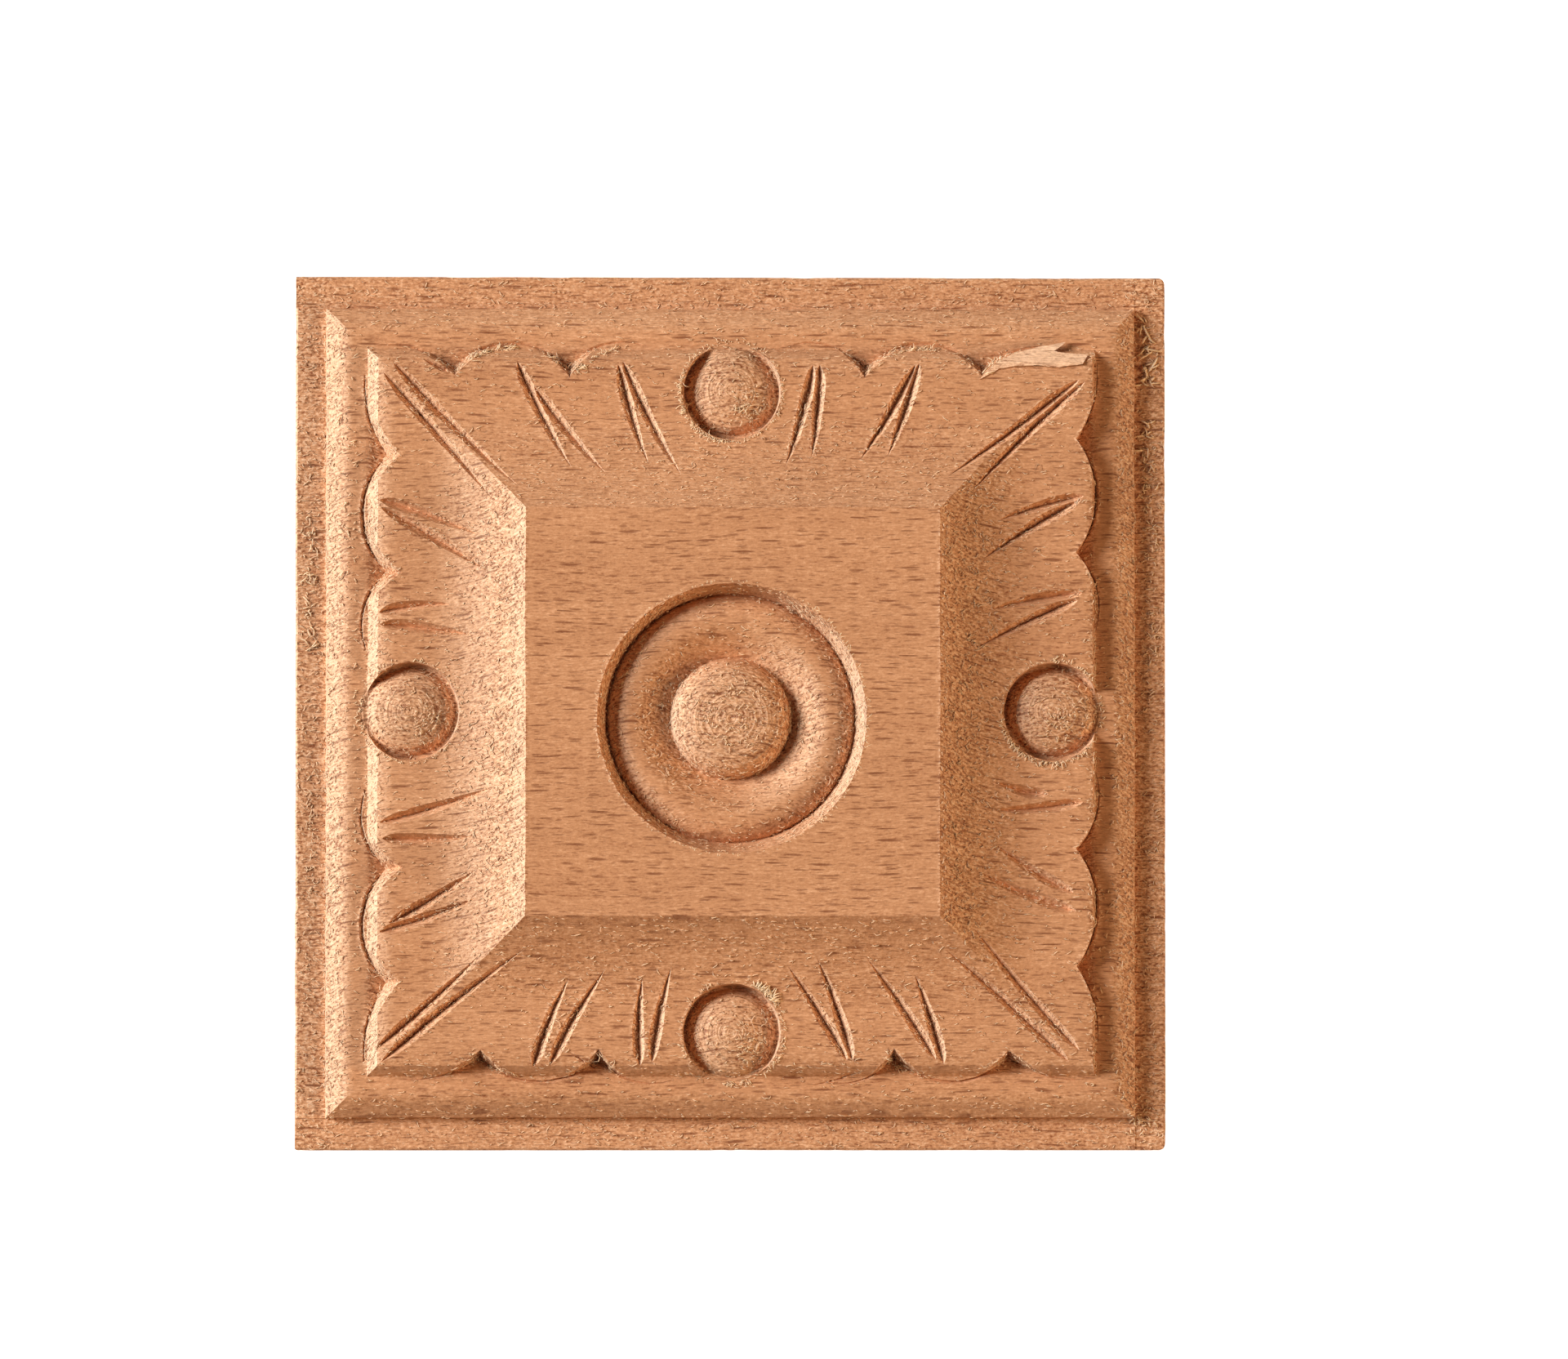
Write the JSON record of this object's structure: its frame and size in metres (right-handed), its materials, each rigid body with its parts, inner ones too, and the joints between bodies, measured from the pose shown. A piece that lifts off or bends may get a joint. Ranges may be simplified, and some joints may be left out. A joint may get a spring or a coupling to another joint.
{
  "type": "carved rosette applique",
  "caption": "Square carved wooden block ornament with a sunk ring-and-button rosette on a raised centre, scalloped leaf border and stepped edge, glued or pinned flat to furniture or trim.",
  "frame": {"origin": "middle of the flat back, so the block lies on its back on the ground plane", "axes": "+Z out of the carved front, +X along the grain of the wood, +Y across the grain"},
  "size_m": [0.08, 0.0804, 0.018],
  "materials": {
    "beech": "raw, machined and carved, with standing fibres"
  },
  "bodies": {
    "root": {"rosette_block": "beech"}
  },
  "joints": []
}
